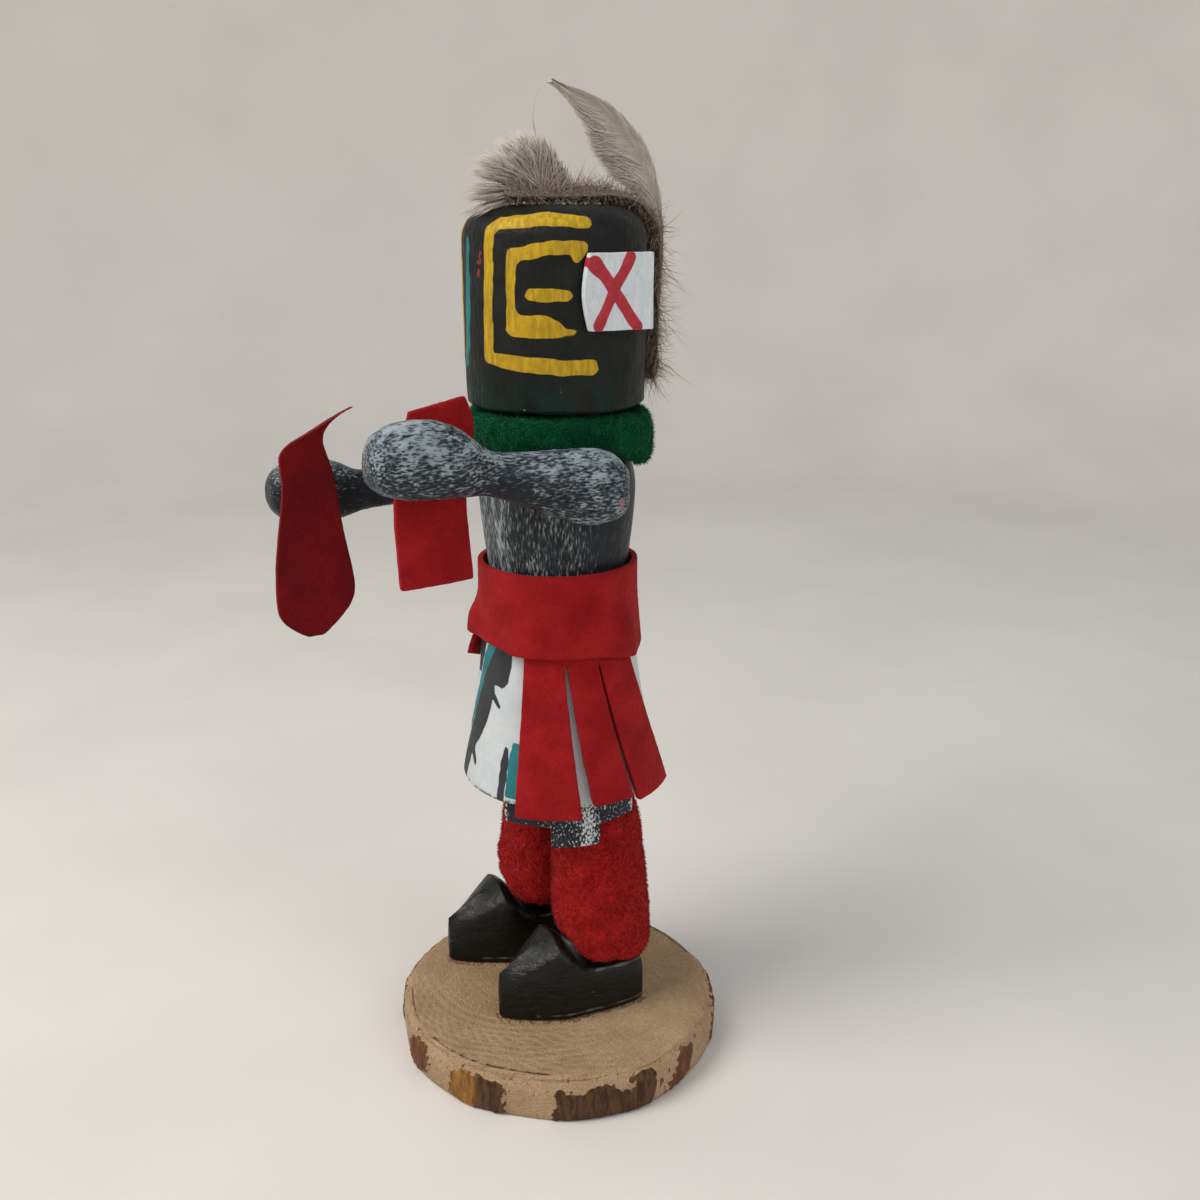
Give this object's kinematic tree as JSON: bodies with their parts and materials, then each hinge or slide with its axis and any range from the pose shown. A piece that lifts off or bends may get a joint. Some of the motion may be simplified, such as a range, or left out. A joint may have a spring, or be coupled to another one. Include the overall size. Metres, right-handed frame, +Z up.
{
  "type": "kachina doll",
  "caption": "Small carved and painted wooden kachina doll in a leather kilt and red suede sash, arms held forward, standing on a slice of branch.",
  "frame": {"origin": "centre of the underside of the branch slice that the doll stands on", "axes": "+Z up, the figure faces -Y, and its left side is +X"},
  "size_m": [0.0506, 0.0627, 0.1441],
  "materials": {
    "slice": "dry sawn end grain with patches of bark",
    "shoe": "semi-gloss black paint, worn at the edges",
    "body": "matt black paint dry-brushed with grey-white",
    "head": "black paint with yellow and teal painted ornament",
    "suede": "matt red suede",
    "fluffy": "fluffy red nap",
    "kilt_leather": "smooth white leather with painted bands",
    "panel_leather": "black paint speckled with white",
    "felt": "fuzzy green chenille",
    "ear": "satin white paint with red strokes",
    "fur": "brown-grey fur",
    "feather": "pale beige feather"
  },
  "bodies": {
    "root": {"branch_slice": "slice", "shoe_left": "shoe", "shoe_right": "shoe", "legging_left": "fluffy", "legging_right": "fluffy", "body": "body", "stepped_panel": "panel_leather", "kilt": "kilt_leather", "sash_belt": "suede", "sash_fringe": "suede", "front_flap": "suede", "arm_left": "body", "arm_right": "body", "strip_left": "suede", "strip_right": "suede", "collar": "felt", "head": "head", "ear_left": "ear", "ear_right": "ear", "fur_crest": "fur", "feather_back": "feather", "feather_front": "feather"}
  },
  "joints": []
}
